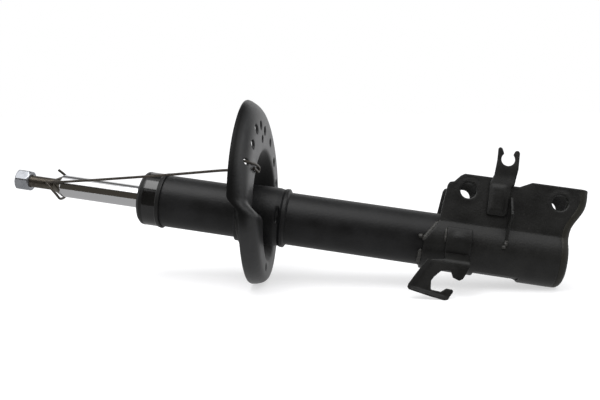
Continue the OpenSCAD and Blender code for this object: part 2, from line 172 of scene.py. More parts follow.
CAP_GLOSS = finish_of("cap_gloss", (0.004, 0.004, 0.004), 0.14, specular=0.5, mottle=0.2,
                      grain=0.05, rough_swing=0.03)
CHROME = finish_of("rod_chrome", (0.6, 0.6, 0.61), 0.07, metallic=1.0, mottle=0.02,
                   grain=0.03, grain_scale=2500.0, rough_swing=0.02, streak=True)
STUD_STEEL = finish_of("stud_steel", (0.1, 0.088, 0.072), 0.3, metallic=0.9, mottle=0.25,
                       mottle_scale=300.0, grain=0.3)
ZINC = finish_of("nut_zinc", (0.3, 0.31, 0.33), 0.28, metallic=0.9, mottle=0.12,
                 mottle_scale=260.0, grain=0.3)
WIRE_IRON = finish_of("wire_iron", (0.05, 0.043, 0.035), 0.42, metallic=0.6, mottle=0.4,
                      mottle_scale=250.0, grain=0.4, worn=(0.1, 0.08, 0.06), worn_share=0.35)
INNER_STEEL = finish_of("inner_steel", (0.45, 0.45, 0.46), 0.35, metallic=1.0, mottle=0.1)
SINTERED = finish_of("sintered_iron", (0.22, 0.22, 0.23), 0.6, metallic=0.8, mottle=0.2,
                     mottle_scale=500.0, grain=0.6)
BRONZE = finish_of("bush_bronze", (0.5, 0.33, 0.17), 0.4, metallic=1.0, mottle=0.15)
RUBBER = finish_of("seal_rubber", (0.012, 0.012, 0.012), 0.6, mottle=0.3)
PTFE = finish_of("band_ptfe", (0.1, 0.075, 0.045), 0.5, mottle=0.2)
SPRING = finish_of("spring_steel", (0.5, 0.5, 0.52), 0.3, metallic=1.0, mottle=0.08)

FOR_NODE = {
    "pressure_tube": INNER_STEEL,
    "rod_guide": SINTERED, "guide_bush": BRONZE, "oil_seal": RUBBER,
    "seal_retainer": INNER_STEEL, "rebound_stop": RUBBER, "piston": SINTERED,
    "piston_band": PTFE, "compression_shims": SPRING, "rebound_shims": SPRING,
    "piston_nut": ZINC, "base_valve_body": SINTERED, "base_valve_shims": SPRING,
    "base_intake_disc": SPRING, "base_valve_rivet": INNER_STEEL,
}
for node_name, finish in FOR_NODE.items():
    NODES[node_name].data.materials.clear()
    NODES[node_name].data.materials.append(finish)


# ---- building ----

def piece(name, verts, faces, at, finishes, slot, body="strut_body", stands_for=(),
          finish_at=None, dull_at=None):
    """A smooth mesh piece drawn in the frame `at`, riding on a body in place of CAD nodes."""
    mesh = bpy.data.meshes.new(name)
    mesh.from_pydata([at @ Vector(v) for v in verts], [], faces)
    work = bmesh.new()
    work.from_mesh(mesh)
    bmesh.ops.remove_doubles(work, verts=work.verts, dist=1e-6)
    bmesh.ops.dissolve_degenerate(work, edges=work.edges, dist=1e-6)
    bmesh.ops.recalc_face_normals(work, faces=work.faces)
    for face in work.faces:
        face.smooth = True
        if finish_at:
            face.material_index = finish_at(at.inverted() @ face.calc_center_median())
    work.to_mesh(mesh)
    work.free()
    for finish in finishes:
        mesh.materials.append(finish)
    # Store a painted-shade value per point, 0 to 1, by which the finish darkens the colour and
    # cuts the shine.
    if dull_at:
        back = at.inverted()
        values = mesh.attributes.new("dull", "FLOAT", "POINT").data
        for value, vertex in zip(values, mesh.vertices):
            value.value = dull_at(back @ vertex.co)
    obj = bpy.data.objects.new(name, mesh)
    bpy.context.scene.collection.objects.link(obj)
    even = obj.modifiers.new("even", "WEIGHTED_NORMAL")
    even.weight = 80
    if body:
        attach(obj, body)
    if stands_for:
        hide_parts(*stands_for)
    return obj


def rounded(points, radius, closed=True, steps=4):
    """The polygon or line with its corners turned into small arcs."""
    out = []
    count = len(points)
    for i, p in enumerate(points):
        p = Vector(p)
        if not closed and i in (0, count - 1):
            out.append(p)
            continue
        a, b = Vector(points[i - 1]) - p, Vector(points[(i + 1) % count]) - p
        if a.length < 1e-6 or b.length < 1e-6:
            continue
        turn = math.pi - a.angle(b)
        if turn < 0.15:
            out.append(p)
            continue
        reach_in = min(radius * math.tan(turn / 2), 0.45 * a.length, 0.45 * b.length)
        start, end = p + a.normalized() * reach_in, p + b.normalized() * reach_in
        for k in range(steps + 1):
            t = k / steps
            out.append(start * (1 - t) ** 2 + p * 2 * t * (1 - t) + end * t ** 2)
    return out


def lathe(name, profile, finishes, slot, soft=0.5, turns=144, closed=True, dent=None,
          **more):
    """A turned piece: (x, radius) points swung round X, with an optional pressed-in dent."""
    line = rounded(profile, soft, closed)
    rows = len(line)
    verts = []
    for a in (math.tau * k / turns for k in range(turns)):
        for x, r in line:
            r -= dent(x, r, a) if dent else 0.0
            verts.append((x, r * math.cos(a), r * math.sin(a)))
    last = rows if closed else rows - 1
    faces = [(k * rows + j, k * rows + (j + 1) % rows,
              (k + 1) % turns * rows + (j + 1) % rows, (k + 1) % turns * rows + j)
             for k in range(turns) for j in range(last)]
    return piece(name, verts, faces, STRUT, finishes, slot, **more)


def swept(name, path, radius, finishes, slot, at=STRUT, sides=14, **more):
    """A round bar along a path; radius is a number or a function of the distance along."""
    points = [Vector(p) for p in path]
    side = Vector((0.1, 0.2, 1))
    verts, run = [], 0.0
    for i, p in enumerate(points):
        along = (points[min(i + 1, len(points) - 1)] - points[max(i - 1, 0)]).normalized()
        side = (side - along * side.dot(along)).normalized()
        other = along.cross(side)
        run += (p - points[i - 1]).length if i else 0
        r = radius(run) if callable(radius) else radius
        for k in range(sides):
            a = math.tau * k / sides
            verts.append(p + (side * math.cos(a) + other * math.sin(a)) * r)
    faces = [(i * sides + k, i * sides + (k + 1) % sides,
              (i + 1) * sides + (k + 1) % sides, (i + 1) * sides + k)
             for i in range(len(points) - 1) for k in range(sides)]
    faces += [tuple(range(sides)), tuple(range(len(verts) - 1, len(verts) - sides - 1, -1))]
    return piece(name, verts, faces, at, finishes, slot, **more)


def smooth_path(points, steps):
    """A curve through the points, eased at each one."""
    points = [Vector(p) for p in points]
    out, last = [], len(points) - 1
    for i in range(last):
        a, b = points[max(0, i - 1)], points[i]
        c, d = points[i + 1], points[min(last, i + 2)]
        for k in range(steps):
            t = k / steps
            out.append(0.5 * (2 * b + (c - a) * t + (2 * a - 5 * b + 4 * c - d) * t * t
                              + (3 * b - a - 3 * c + d) * t ** 3))
    return out + [points[last]]


RIPPLE, END_TAPER = 1.7, 2.5


def bead(name, path, radius, at, seed, stands_for=()):
    """A hand-laid weld: a rippled, slightly uneven bead with thin ends."""
    fine = smooth_path(path, 10)
    total = sum((fine[i + 1] - fine[i]).length for i in range(len(fine) - 1))

    def width(run):
        ends = min(1, 0.35 + run / END_TAPER, 0.35 + (total - run) / END_TAPER)
        wave = 1 + 0.16 * abs(math.sin(math.pi * run / RIPPLE))
        return radius * ends * wave * (1 + 0.18 * noise(Vector((run * 0.6, seed, 0.3))))
    return swept(name, fine, width, [WELD_COAT], "weld_bead", at=at, sides=10,
                 stands_for=stands_for)


def densify(loop, step):
    """The loop with points added, so that no side is longer than a step."""
    out = []
    for i, p in enumerate(loop):
        q = loop[(i + 1) % len(loop)]
        parts = max(1, math.ceil((q - p).length / step))
        out += [p.lerp(q, k / parts) for k in range(parts)]
    return out


def area_of(loop):
    """Signed area: above 0 where the loop runs anticlockwise."""
    return sum(a.x * b.y - b.x * a.y for a, b in zip(loop, loop[1:] + loop[:1])) / 2


def moved_in(loop, distance):
    """Each point moved to the left of the way the loop runs."""
    out, count = [], len(loop)
    for i, p in enumerate(loop):
        a, b = (p - loop[i - 1]).normalized(), (loop[(i + 1) % count] - p).normalized()
        na, nb = Vector((-a.y, a.x)), Vector((-b.y, b.x))
        middle = na + nb
        if middle.length < 1e-6:
            middle = na
        middle.normalize()
        out.append(p + middle * distance / max(0.5, middle.dot(na)))
    return out


def within(points, loop):
    """Which of the points lie inside a loop."""
    x, y = points[:, 0], points[:, 1]
    found = np.zeros(len(points), bool)
    for a, b in zip(loop, loop[1:] + loop[:1]):
        crosses = (a.y > y) != (b.y > y)
        if abs(b.y - a.y) > 1e-12:
            found ^= crosses & (x < (b.x - a.x) * (y - a.y) / (b.y - a.y) + a.x)
    return found


def sheet(name, outline, holes, thick, place, finishes, slot, at=STRUT, step=2.4, edge=1.0,
          creases=(), **more):
    """Pressed sheet metal. The outline and holes are drawn flat, `place` bends a flat point
    into its final place on the middle of the sheet, and every cut edge is softly rounded.
    Creases are lines the mesh follows, so that a narrow groove keeps its shape."""
    edge = min(edge, thick * 0.42)
    loops = []
    for k, raw in enumerate([outline, *holes]):
        loop = densify([Vector(p).to_2d() for p in raw], step)
        if (area_of(loop) < 0) == (k == 0):
            loop.reverse()
        loops.append(loop)
    depth = {0: thick / 2 - edge, 1: thick / 2 - 0.29 * edge, 2: thick / 2}
    flat, kinds, edges = [], [], []
    for loop in loops:
        for kind, inwards in enumerate((0, 0.3 * edge, edge)):
            start = len(flat)
            flat += moved_in(loop, inwards) if inwards else loop
            kinds += [kind] * len(loop)
            edges += [(start + i, start + (i + 1) % len(loop)) for i in range(len(loop))]
    corners = np.array([(p.x, p.y) for loop in loops for p in loop])
    lo, hi = corners.min(0), corners.max(0)
    xs, ys = np.meshgrid(np.arange(lo[0], hi[0], step), np.arange(lo[1], hi[1], step * 0.87))
    xs = xs + (np.arange(len(ys))[:, None] % 2) * step / 2
    inner = np.stack([xs.ravel(), ys.ravel()], 1)
    keep = within(inner, loops[0])
    for loop in loops[1:]:
        keep &= ~within(inner, loop)
    inner = inner[keep]
    clear = np.array([np.min(np.sum((corners - p) ** 2, 1)) for p in inner])
    inner = inner[clear > (edge + 0.45 * step) ** 2]
    for line in creases:
        marks = np.array(line)
        clear = np.array([np.min(np.sum((marks - p) ** 2, 1)) for p in inner])
        inner = inner[clear > (0.4 * step) ** 2]
        start = len(flat)
        flat += [Vector(p) for p in line]
        kinds += [2] * len(line)
        edges += [(start + i, start + i + 1) for i in range(len(line) - 1)]
    flat += [Vector(p) for p in inner]
    kinds += [2] * len(inner)
    points, _, triangles, origin, _, _ = geometry.delaunay_2d_cdt(flat, edges, [], 0, 1e-5)
    centres = np.array([sum((points[i] for i in t), Vector((0, 0))) / 3 for t in triangles])
    keep = within(centres, loops[0])
    for loop in loops[1:]:
        keep &= ~within(centres, loop)
    triangles = [t for t, k in zip(triangles, keep) if k]
    half = [depth[min((kinds[o] for o in from_), default=2)] for from_ in origin]
    middle = bpy.data.meshes.new("flat")
    middle.from_pydata([place(p.x, p.y) for p in points], [], triangles)
    middle.update()
    normals = [n.vector.copy() for n in middle.vertex_normals]
    places = [v.co.copy() for v in middle.vertices]
    bpy.data.meshes.remove(middle)
    count = len(points)
    verts = ([p + n * h for p, n, h in zip(places, normals, half)]
             + [p - n * h for p, n, h in zip(places, normals, half)])
    faces = [tuple(t) for t in triangles] + [tuple(i + count for i in reversed(t))
                                             for t in triangles]
    seen = {}
    for t in triangles:
        for a, b in zip(t, [*t[1:], t[0]]):
            if (b, a) in seen:
                del seen[(b, a)]
            else:
                seen[(a, b)] = True
    faces += [(b, a, a + count, b + count) for a, b in seen]
    used = sorted({i for f in faces for i in f})
    renumber = {old: new for new, old in enumerate(used)}
    return piece(name, [verts[i] for i in used],
                 [tuple(renumber[i] for i in f) for f in faces], at, finishes, slot, **more)


def circle(x, y, r, count=40):
    """A round outline about a centre."""
    return [(x + r * math.cos(math.tau * k / count), y + r * math.sin(math.tau * k / count))
            for k in range(count)]


def ease(t):
    """0 up to 0 and 1 from 1 on, with a smooth rise between."""
    t = max(0.0, min(1.0, t))
    return t * t * (3 - 2 * t)


def place_on(line, distance):
    """The place at a distance along a line of 2-D points."""
    for a, b in zip(line, line[1:]):
        length = (b - a).length
        if distance <= length or b is line[-1]:
            return a + (b - a) / length * distance
        distance -= length


def distance_to(x, y, line):
    """The shortest distance from a place to a line of 2-D points."""
    best = 1e9
    for a, b in zip(line, line[1:]):
        ax, ay, bx, by = *a, *b
        t = ((x - ax) * (bx - ax) + (y - ay) * (by - ay)) / ((bx - ax) ** 2 + (by - ay) ** 2)
        t = max(0.0, min(1.0, t))
        best = min(best, math.hypot(x - ax - t * (bx - ax), y - ay - t * (by - ay)))
    return best


# ---- damper ----

BORE_R = TUBE_R - 2.2
lathe("outer_tube", [
    (-19.8, BORE_R), (-19.8, BORE_R - 3), (-22, BORE_R - 3), (-22, TUBE_R - 2), (-20, TUBE_R),
    (0, TUBE_R), (75, TUBE_R), (124, TUBE_R), (252, TUBE_R), (375, TUBE_R), (376, TUBE_R - 1),
    (376, BORE_R)], [TUBE_PAINT], "tube_paint", stands_for=["outer_tube"], soft=0.4)
lathe("tube_end_cap", [
    (370, 0), (370, 15), (367, BORE_R - 3), (367, BORE_R - 0.05), (374, BORE_R - 0.05),
    (376, BORE_R - 2), (374, BORE_R - 4), (374, 15), (374, 0)],
    [TUBE_PAINT], "tube_paint", stands_for=["tube_end_cap"], soft=1.5, closed=False)

lathe("bump_cap", [
    (-24.6, 15), (-24.6, TUBE_R - 5.5), (-23.2, TUBE_R - 2.2), (-20.6, TUBE_R + 0.4),
    (-18, TUBE_R + 1.0), (-17.2, TUBE_R + 1.0), (-16.8, TUBE_R + 0.8), (-4.5, TUBE_R + 0.8),
    (-4, TUBE_R + 1.1), (-1, TUBE_R + 1.9), (-0.2, TUBE_R + 1.9), (0, TUBE_R + 0.05),
    (-20, TUBE_R + 0.05), (-22, TUBE_R - 2), (-22, 15)],
    [CAP_SATIN, CAP_GLOSS], "cap_gloss", stands_for=["bump_cap"], soft=1.2,
    finish_at=lambda p: 1 if -17.4 < p.x < -3.6 else 0)

lathe("piston_rod", [
    (-28, 0), (182, 0), (182, 6), (182.2, ROD_R), (ROD_TIP + 0.6, ROD_R),
    (ROD_TIP - 0.4, ROD_R - 0.5), (ROD_TIP - SHOULDER, STUD_R + 0.2),
    (ROD_TIP - SHOULDER - 0.4, 0)],
    [CHROME, STUD_STEEL], "rod_chrome", body="rod", stands_for=["piston_rod"], soft=0.8,
    finish_at=lambda p: 1 if p.x < ROD_TIP - 0.3 else 0)

lathe("piston_pin", [(181, 0), (181, STUD_R), (216, STUD_R), (216, 0)],
      [INNER_STEEL], "inner_steel", body="rod", closed=False)

# The stud's thread, cut as one helix that runs out below the shoulder.
PITCH, DEPTH_CUT, TURN_STEPS, PITCH_STEPS = 1.25, 0.55, 48, 8
rows = int((ROD_TIP - SHOULDER + 0.5 - STUD_END) / PITCH * PITCH_STEPS)
thread = []
for i in range(rows + 1):
    x = STUD_END + i * PITCH / PITCH_STEPS
    for k in range(TURN_STEPS):
        phase = (x / PITCH - k / TURN_STEPS) % 1
        cut = DEPTH_CUT * abs(2 * phase - 1) * min(1, max(0, (ROD_TIP - SHOULDER - 1.5 - x) / 3))
        r = min(STUD_R - cut, STUD_R - 1.1 + (x - STUD_END) * 0.9)
        a = math.tau * k / TURN_STEPS
        thread.append((x, r * math.cos(a), r * math.sin(a)))
thread_faces = [(i * TURN_STEPS + k, i * TURN_STEPS + (k + 1) % TURN_STEPS,
                 (i + 1) * TURN_STEPS + (k + 1) % TURN_STEPS, (i + 1) * TURN_STEPS + k)
                for i in range(rows) for k in range(TURN_STEPS)]
thread_faces += [tuple(range(TURN_STEPS)),
                 tuple(range(len(thread) - 1, len(thread) - TURN_STEPS - 1, -1))]
piece("stud_thread", thread, thread_faces, STRUT, [STUD_STEEL], "inner_steel", body="rod")


def nut(name, x0, length, across, hole, turn):
    """A hexagon nut with both ends chamfered and a washer face towards +X."""
    corner = across / math.sqrt(3)
    stations = [(0.0, 9.1), (0.3, 9.6), (0.9, 10.3), (1.6, 11), (3, 11), (6, 11), (9, 11),
                (length - 1.6, 11), (length - 0.9, 10.4), (length - 0.1, 9.6),
                (length, 9.5), (length + 0.9, 9.5), (length + 1.2, 9.2)]
    turns = 180
    verts = []
    for k in range(turns):
        a = math.tau * k / turns
        local = (a - math.radians(turn)) % (math.pi / 3) - math.pi / 6
        flat_r = across / 2 / math.cos(local)
        flat_r = min(flat_r, corner - 0.35)
        ring = [(x0 + s, min(flat_r if s < length else 9.5, r)) for s, r in stations]
        ring += [(x0 + length + 1.2, hole + 0.8), (x0 + length + 0.4, hole),
                 (x0 + 0.7, hole), (x0, hole + 0.8)]
        verts += [(x, r * math.cos(a), r * math.sin(a)) for x, r in ring]
    n = len(stations) + 4
    faces = [(k * n + j, k * n + (j + 1) % n, (k + 1) % turns * n + (j + 1) % n,
              (k + 1) % turns * n + j) for k in range(turns) for j in range(n)]
    return piece(name, verts, faces, STRUT, [ZINC], "nut_zinc", body="rod",
                 stands_for=["top_nut"])


NUT_LENGTH, NUT_ACROSS, NUT_TURN = 13.0, 19.0, 47
nut("top_nut", STUD_END + 1, NUT_LENGTH, NUT_ACROSS, STUD_R, NUT_TURN)


# ---- spring seat ----

HUB_R, CREST_FROM, CREST_TO, VALLEY = TUBE_R + 3.2, 0.48, 0.56, 0.75
LEAN_UP, COIL_STEP, RIM_TURN, RIM_SHARPNESS = 0.128, 10, 1.28, 6
STEP_AT, COIL_END, STEP_WIDE = 6, 350, 10
# Painted shade on the pan: how far out it reaches round the hub, how fast it fades, and where it
# starts on the near rim.
PAINTED_SHADE_TO, PAINTED_SHADE_FADE, RIM_FROM = 0.42, 0.04, 0.955


def coil_share(angle):
    """How high the coil's seat has climbed, 0 to 1 round the pan, before it steps back."""
    turned = (angle - STEP_AT) % 360
    return turned / COIL_END if turned < COIL_END else 1 - ease((turned - COIL_END) / STEP_WIDE)


def trough(share):
    """Height of the pressing: a valley round the hub, a crest, then the turned rim."""
    if share < CREST_TO:
        return (1 + VALLEY) * ease((share - 0.06) / (CREST_FROM - 0.06)) - VALLEY
    return 1 - RIM_TURN * ((share - CREST_TO) / (1 - CREST_TO)) ** RIM_SHARPNESS


def rim_at(angle):
    """Radius of the rim, which bulges a little at the top."""
    return SEAT_R + 4 * max(0.0, math.sin(math.radians(angle))) ** 8


def seat_share(front, up):
    """How far out a place lies: 0 at the hub, 1 at the rim."""
    low, high = 0.0, 1.02
    for _ in range(26):
        share = (low + high) / 2
        height = up - SEAT_RISE * share
        angle = math.degrees(math.atan2(height, front))
        if math.hypot(front, height) > HUB_R * (1 - share) + rim_at(angle) * share:
            low = share
        else:
            high = share
    return min(share, 1.0)


def seat_along(front, up):
    """Where the pan's middle lies along the damper, for a place seen along its axis."""
    share = seat_share(front, up)
    angle = math.degrees(math.atan2(up - SEAT_RISE * share, front))
    return (SEAT_AT - LEAN_UP * up
            + COIL_STEP * (coil_share(angle) - 0.4) * ease(share / 0.4)
            + SEAT_DEPTH * trough(share) - SEAT_WALL / 2)


def seat_place(front, up):
    return Vector((seat_along(front, up), -front, up))


def seat_loop(share, inset=0.0):
    """The pan's outline at a share of the way out, seen along the damper."""
    out = []
    for k in range(0, 360, 2):
        a = math.radians(k)
        r = HUB_R * (1 - share) + rim_at(k) * share + inset
        out.append((r * math.cos(a), SEAT_RISE * share + r * math.sin(a)))
    return out


def seat_painted_shade(p):
    """Painted shade: 1 in the valley round the hub and on the near rim, 0 elsewhere."""
    share = seat_share(-p.y, p.z)
    rim = (ease((share - RIM_FROM) / (1 - RIM_FROM)) * ease((-p.y - 8) / 20)
           * ease((p.z + 8) / 22))
    return max(1 - ease((share - PAINTED_SHADE_TO) / PAINTED_SHADE_FADE), rim)


# The pan, with shade painted into the valley round the hub and onto the near rim.
sheet("spring_seat_pan", seat_loop(1, -0.2), [
    seat_loop(0, 0.2), circle(67, 57, 2.5), circle(31, 84, 4.2), circle(13, 87, 4),
    circle(-5, 81, 4.2), circle(7, 74, 3.4), circle(48, 71, 4), circle(-32, 68, 4),
    circle(-50, 47, 4.4), circle(-60, 24, 4), circle(30, -44, 3.6)],
    SEAT_WALL, seat_place, [PAN_COAT], "bracket_coat",
    stands_for=["spring_seat_pan"], edge=1.2, dull_at=seat_painted_shade,
    creases=[seat_loop(share) for share in (PAINTED_SHADE_TO, PAINTED_SHADE_TO + PAINTED_SHADE_FADE, 0.93, 0.945, 0.96)])


SLOT_X, SLOT_TURN, SLOT_HALF_WIDE, SLOT_HALF_TALL = 114.2, math.radians(-14), 2.6, 8.5


def collar_slot(x, r, a):
    """Depth of the weep slot pressed into the collar just ahead of its end bead."""
    across = (x - SLOT_X) / SLOT_HALF_WIDE
    tall = (a - math.pi - SLOT_TURN) * TUBE_R / SLOT_HALF_TALL
    inside = 1 - ease((math.hypot(across, tall) - 0.55) / 0.45)
    return inside * max(0.0, r - TUBE_R - 0.15)


lathe("seat_collar", [
    (74, TUBE_R), (74, TUBE_R + 3),
    *((x, TUBE_R + 3 - 0.2 * max(0, x - 112)) for x in (90, 108, *np.arange(109.5, 117, 0.75))),
    (118.6, TUBE_R + 3.2), (121.4, TUBE_R + 3.2), (123, TUBE_R + 0.6), (123, TUBE_R)],
    [TUBE_PAINT], "tube_paint", stands_for=["seat_collar"], soft=0.9, turns=240,
    dent=collar_slot)

hub_ring = []
for k in range(0, 361, 4):
    a = math.radians(k)
    hub_ring.append((SEAT_AT - LEAN_UP * HUB_R * math.sin(a) - SEAT_DEPTH * VALLEY
                     - SEAT_WALL / 2,
                     -HUB_R * math.cos(a), HUB_R * math.sin(a)))
bead("seat_weld", hub_ring, 1.9, STRUT, 3.0, ["seat_weld"])


# ---- knuckle bracket, one pressed sheet from ear to ear round the tube ----

MID_R, EAR_MID, FOLD_R = TUBE_R + PLATE / 2, EAR_OUT - PLATE / 2, 4.0
fold_z = math.sqrt((MID_R + FOLD_R) ** 2 - (EAR_MID + FOLD_R) ** 2)
fold_turn = math.atan2(fold_z, EAR_MID + FOLD_R)
ear_len = EAR_TOP - fold_z
girth = 2 * ear_len + 2 * FOLD_R * fold_turn + MID_R * (math.pi + 2 * fold_turn)


def section(v):
    """Place across the strut and outward normal at a distance from the near ear's top."""
    if v > girth / 2:
        y, z, ny, nz = section(girth - v)
        return -y, z, -ny, nz
    if v <= ear_len:
        return -EAR_MID, EAR_TOP - v, -1.0, 0.0
    v -= ear_len
    if v <= FOLD_R * fold_turn:
        t = v / FOLD_R
        y = -(EAR_MID + FOLD_R) + FOLD_R * math.cos(t)
        return y, fold_z - FOLD_R * math.sin(t), -math.cos(t), math.sin(t)
    beta = fold_turn - (v - FOLD_R * fold_turn) / MID_R
    return -MID_R * math.cos(beta), MID_R * math.sin(beta), -math.cos(beta), math.sin(beta)


def girth_at(z):
    """Distance from the near ear's top to a height on the near side."""
    if z >= fold_z:
        return EAR_TOP - z
    return ear_len + FOLD_R * fold_turn + MID_R * (fold_turn - math.asin(z / MID_R))


REAR_EDGE = [(63.5, 394.8), (54, 395.1), (48, 394.3), (44, 393.0), (37.5, 389.2),
             (30.5, 384.9), (25, 382.9), (16, 382.2), (5, 382.6), (-20, 383.0)]
rear_edge_v = [girth_at(z) for z, _ in REAR_EDGE]
rear_edge_x = [x for _, x in REAR_EDGE]


def rear_at(v):
    """Where the bracket ends along the damper, at a distance round its girth."""
    v = min(v, girth - v)
    return sum(float(np.interp(v + d, rear_edge_v, rear_edge_x)) for d in (-3, -1, 1, 3)) / 4


ROLL_R, GROOVE_BACK, GROOVE_HALF, GROOVE_DEPTH = 5.5, 0.9, 0.8, 1.0


def coined(u, v):
    """Height of the raised rings round the bolt holes."""
    v = min(v, girth - v)
    best = 0.0
    for bolt in BOLTS:
        r = math.hypot(u - bolt, v - (EAR_TOP - BOLT_RISE))
        best = max(best, ease((r - 6.5) / 1.5) * (1 - ease((r - 10.2) / 1.4)))
    return 0.55 * best


def bracket_place(u, v):
    """The flat blank bent round the tube, grooved and then rolled in at its rear edge."""
    start = rear_at(v) - ROLL_R
    x, dip = u, GROOVE_DEPTH * (1 - ease(abs(u - start + GROOVE_BACK) / GROOVE_HALF))
    if u > start:
        turn = (u - start) / ROLL_R
        if turn < math.pi / 2:
            x, dip = start + ROLL_R * math.sin(turn), dip + ROLL_R * (1 - math.cos(turn))
        else:
            x, dip = start + ROLL_R, ROLL_R + (turn - math.pi / 2) * ROLL_R
    y, z, ny, nz = section(v)
    out = coined(u, v) - dip
    return Vector((x, y + ny * out, z + nz * out))


front_edge = [(253, -4), (257.5, 3), (262, 10.5), (265, 17), (266, 30), (268.5, 51), (270, 54),
              (274, 55), (279.5, 61.3), (283, 63.5), (310, 63.5), (329, 58), (334, 58),
              (345, 63.5), (393, 63.5)]
near = [(x, girth_at(z)) for x, z in front_edge]
far = [(x, girth - v) for x, v in near]
rear = []
REAR_STEPS = 60
for k in range(REAR_STEPS + 1):
    v = 1.2 + (girth - 2.4) * k / REAR_STEPS
    tail = 0.6 + 2.4 * ease((min(v, girth - v) - 40) / 20)
    rear.append((rear_at(v) - ROLL_R + ROLL_R * math.pi / 2 + tail, v))
outline = rounded(near[:-1] + [(rear[0][0] - 1.5, 0.0)], 2.2, closed=False)
outline += [Vector(p) for p in rear]
outline += rounded([(rear[-1][0] - 1.5, girth)] + far[-2::-1], 2.2, closed=False)
window_v = girth / 2
half_v = MID_R * math.asin(12 / MID_R)
window = rounded([(303, window_v - half_v), (345, window_v - half_v),
                  (345, window_v + half_v), (303, window_v + half_v)], 4)
holes = [circle(b, v, BOLT_R, 48) for b in BOLTS
         for v in (EAR_TOP - BOLT_RISE, girth - EAR_TOP + BOLT_RISE)]


def on_roll(p):
    """1 on the rolled margin along the bracket's rear edge, 0 elsewhere."""
    v = girth_at(max(0.01 - MID_R, min(EAR_TOP, p.z)))
    return 1 if p.x > rear_at(v) - ROLL_R - GROOVE_BACK else 0


groove = [[(rear_at(v) - ROLL_R - GROOVE_BACK + off, v)
           for v in (6 + (girth - 12) * k / 90 for k in range(91))]
          for off in (-GROOVE_HALF, 0.0, GROOVE_HALF)]
sheet("knuckle_bracket", outline, holes + [window], PLATE, bracket_place,
      [BRACKET_COAT, ROLL_TINT], "bracket_coat", at=LEANED, stands_for=["knuckle_bracket"],
      edge=1.0, finish_at=on_roll, creases=groove)


def on_tube(x, degrees, r):
    """A place on the tube, by degrees above the front."""
    a = math.radians(degrees)
    return (x, -r * math.cos(a), r * math.sin(a))


WELD_R = TUBE_R + 0.7
bead("weld_front_slant", [on_tube(252.2 + 12.5 * t / 5, -9 + 44 * t / 5, WELD_R)
                          for t in range(6)], 1.9, LEANED, 1.0, ["bracket_welds"])
bead("weld_front_low", [on_tube(251.6, -28 - 45 * t / 5, WELD_R) for t in range(6)],
     2.0, LEANED, 2.0)
bead("weld_back_slant", [on_tube(252.2 + 12.5 * t / 5, 189 - 44 * t / 5, WELD_R)
                         for t in range(6)], 1.9, LEANED, 4.0)
bead("weld_tail", [on_tube(248.6, -4, WELD_R), on_tube(249.6, -1.5, WELD_R + 0.3),
                   on_tube(252, -3, WELD_R + 0.2)], 2.2, LEANED, 5.0)


# ---- hose fork ----

TAB = 2.6
NOTCH_X, NOTCH_Z, NOTCH_R = 320, 81.7, 6.2
fork_y = -(EAR_OUT + TAB / 2)
notch = [(NOTCH_X + NOTCH_R * math.cos(math.radians(a)),
          NOTCH_Z + NOTCH_R * math.sin(math.radians(a))) for a in range(46, -227, -8)]
fork_outline = rounded([
    (306, 28), (323, 28), (325, 31), (325.5, 56), (328.5, 58), (330.4, 73), (330, 89),
    (328.5, 90.8), (326, 90.6), (324.7, 88)], 1.6)[1:] + [Vector(p) for p in notch]
fork_outline += rounded([
    (315.3, 88), (313.6, 91.6), (311.4, 92.4), (310, 91), (310.2, 80), (309.3, 66),
    (306, 58)], 1.6, closed=False)


def fork_place(x, z):
    """The fork's plate, with a low pad pressed out of its foot and a hollow above that."""
    inner = min(x - 306.8, 322.6 - x, z - 29.5, 57.5 - z)
    pad = 1.5 * ease(inner / 4.5)
    waist = -0.8 * ease(1 - abs(z - 66) / 10)
    return Vector((x, fork_y - 0.4 - pad - waist, z))


sheet("hose_fork", fork_outline, [], TAB, fork_place, [BRACKET_COAT], "bracket_coat",
      at=LEANED, stands_for=["hose_fork"], step=1.6, edge=0.9)

GUSSET_AT, GUSSET_LEAN = 326.4, 0.2
foot = EAR_OUT + TAB
gusset_outline = rounded([
    (foot, 47), (foot + 4, 46), (foot + 10, 30), (foot + 9, 24), (foot + 6, 21),
    (WRAP_R + 0.2, 6), (WRAP_R + 0.2, 2), (foot + 1.2, 12), (foot, 28)], 1.4)


def gusset_place(f, z):
    """The gusset stands across the strut and leans towards the knuckle end further out."""
    return Vector((GUSSET_AT + GUSSET_LEAN * max(0, f - foot), -f, z))


sheet("fork_gusset", gusset_outline, [], TAB, gusset_place, [BRACKET_COAT], "bracket_coat",
      at=LEANED, stands_for=["fork_gusset"], step=1.6, edge=0.9)
bead("weld_gusset", [(325.4, -28.6, 0.5), (326.4, -29.2, 3.2), (327.4, -28.6, 6)], 1.7,
     LEANED, 6.0)
bead("weld_gusset_foot", [(323.2, -29.3, -1.6), (324.8, -29.6, 0), (326.2, -29.4, -1.4)], 1.4,
     LEANED, 8.0)


# ---- line clip, one strip bent from the wrap out to a hook ----

CLIP_R, CLIP_OUT, CLIP_DOWN, BEND_AT = WRAP_R + 0.05 + TAB / 2, 41.0 - TAB / 2, 60.0, -22
clip_line = [Vector(on_tube(0, 24 - 2 * k, CLIP_R)[1:]) for k in range(26)]
clip_line = rounded([tuple(p) for p in clip_line]
                    + [(-29.4, -14.6), (-CLIP_OUT, -20.6), (-CLIP_OUT, -CLIP_DOWN)],
                    3.0, closed=False, steps=6)
clip_total = sum((b - a).length for a, b in zip(clip_line, clip_line[1:]))


def clip_v(z):
    """Distance along the strip to a height on its hanging part."""
    return clip_total - (z + CLIP_DOWN)


HOOK_EDGE = [(257.5, BEND_AT), (243.4, -47), (244.6, -51.3), (277, -56.3)]
SWELL_X, SWELL_V, SWELL_R = 284.5, 11, 8


